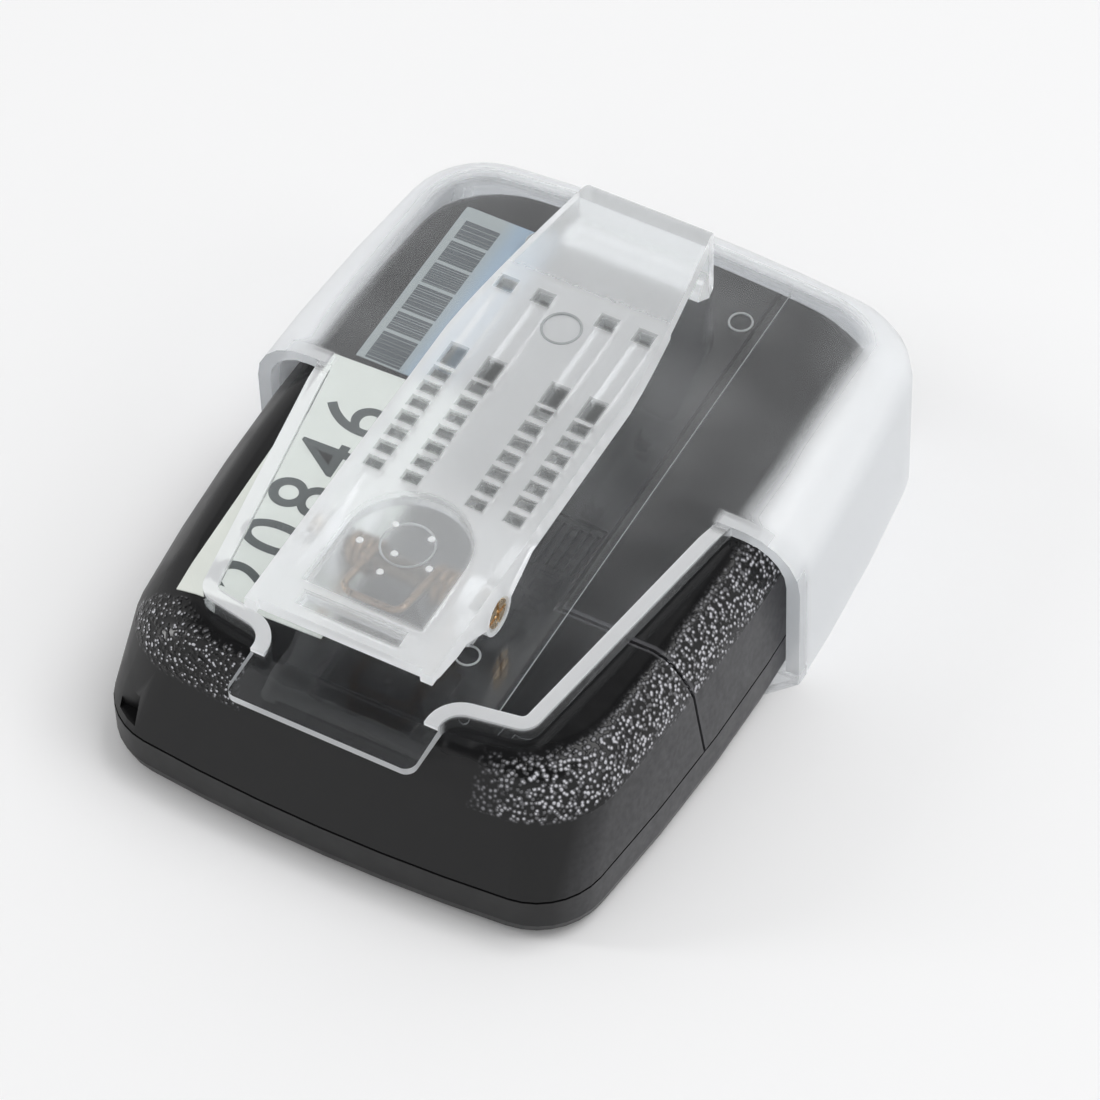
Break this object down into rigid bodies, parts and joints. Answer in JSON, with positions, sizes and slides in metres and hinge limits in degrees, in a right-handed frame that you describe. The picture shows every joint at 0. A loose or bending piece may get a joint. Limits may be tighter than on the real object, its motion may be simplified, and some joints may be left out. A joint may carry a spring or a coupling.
{
  "type": "belt-worn radio receiver in a clip-on holster",
  "caption": "Slim belt-worn radio receiver with a display and keys on its face, lying face down in a clear holster with a sprung, hooked belt clip.",
  "frame": {"origin": "centre of the bounding box on the surface that the face lies on", "axes": "+X to the battery door's side, +Y from the clip's thumb end to its hook, +Z from the receiver's face to its back and the clip"},
  "size_m": [0.0622, 0.0784, 0.0292],
  "materials": {
    "clear_plastic": "clear moulded polycarbonate, polished",
    "frosted_plastic": "clear polycarbonate, lightly frosted",
    "brass_pin": "turned, with rough peened ends",
    "spring_wire": "drawn bronze-coloured wire",
    "case_plastic": "satin black, with a shiny stippled band",
    "latch_plastic": "satin",
    "lens_plastic": "polished, lightly tinted",
    "foam": "closed-cell foam",
    "display_glass": "polished",
    "white_plastic": "satin",
    "soft_rubber": "matt",
    "key_plastic": "smooth",
    "red_lamp": "polished",
    "board": "solder mask",
    "chip_plastic": "moulded",
    "steel": "bright",
    "tin_plate": "tinned",
    "gilt_brass": "bright strip",
    "cell_sleeve": "printed sleeve, plain",
    "paper_label": "paper",
    "bar_label": "silvered paper with dark bars"
  },
  "bodies": {
    "holster": {"holster_shell": "clear_plastic", "pivot_pin": "brass_pin", "clip_spring": "spring_wire"},
    "clip": {"clip_lever": "frosted_plastic"},
    "receiver": {"front_housing": "case_plastic", "rear_housing": "case_plastic", "battery_door": "case_plastic", "display_lens": "lens_plastic", "display_gasket": "foam", "lcd_panel": "display_glass", "lcd_frame": "white_plastic", "contact_strips": "soft_rubber", "backlight": "white_plastic", "keypad_mat": "soft_rubber", "alert_led": "red_lamp", "main_board": "board", "board_parts": "chip_plastic", "board_screws": "steel", "receiver_board": "board", "board_connector": "chip_plastic", "shield_can": "tin_plate", "antenna_loop": "gilt_brass", "vibration_motor": "steel", "motor_boot": "soft_rubber", "buzzer": "chip_plastic", "battery_cell": "cell_sleeve", "battery_cradle": "chip_plastic", "positive_contact": "tin_plate", "negative_contact": "tin_plate", "number_label": "paper_label", "barcode_label": "bar_label"},
    "door_latch": {"door_latch": "latch_plastic"},
    "key_left": {"key_left": "key_plastic"},
    "key_read": {"key_read": "key_plastic"},
    "key_menu": {"key_menu": "key_plastic"},
    "key_right": {"key_right": "key_plastic"},
    "vibration_weight": {"vibration_weight": "steel"}
  },
  "joints": [
    {"name": "clip_pivot", "type": "hinge", "parent": "holster", "child": "clip", "pos_m": [0, -0.0202, 0.0242], "axis": [1, 0, 0], "range_deg": [0, 20], "stiffness_Nm_per_rad": 0.15, "springref_deg": -28.65, "deforming": ["clip_spring"]},
    {"name": "receiver_slide", "type": "slide", "parent": "holster", "child": "receiver", "axis": [0, -1, 0], "range_m": [0, 0.04]},
    {"name": "latch_slide", "type": "slide", "parent": "receiver", "child": "door_latch", "axis": [-1, 0, 0], "range_m": [0, 0.0022]},
    {"name": "key_left_press", "type": "slide", "parent": "receiver", "child": "key_left", "axis": [0, 0, 1], "range_m": [0, 0.0006], "stiffness_N_per_m": 800, "springref_m": -0.0004},
    {"name": "key_read_press", "type": "slide", "parent": "receiver", "child": "key_read", "axis": [0, 0, 1], "range_m": [0, 0.0006], "stiffness_N_per_m": 800, "springref_m": -0.0004},
    {"name": "key_menu_press", "type": "slide", "parent": "receiver", "child": "key_menu", "axis": [0, 0, 1], "range_m": [0, 0.0006], "stiffness_N_per_m": 800, "springref_m": -0.0004},
    {"name": "key_right_press", "type": "slide", "parent": "receiver", "child": "key_right", "axis": [0, 0, 1], "range_m": [0, 0.0006], "stiffness_N_per_m": 800, "springref_m": -0.0004},
    {"name": "weight_spin", "type": "hinge", "parent": "receiver", "child": "vibration_weight", "pos_m": [-0.021, -0.0209, 0.00935], "axis": [1, 0, 0], "continuous": true}
  ]
}
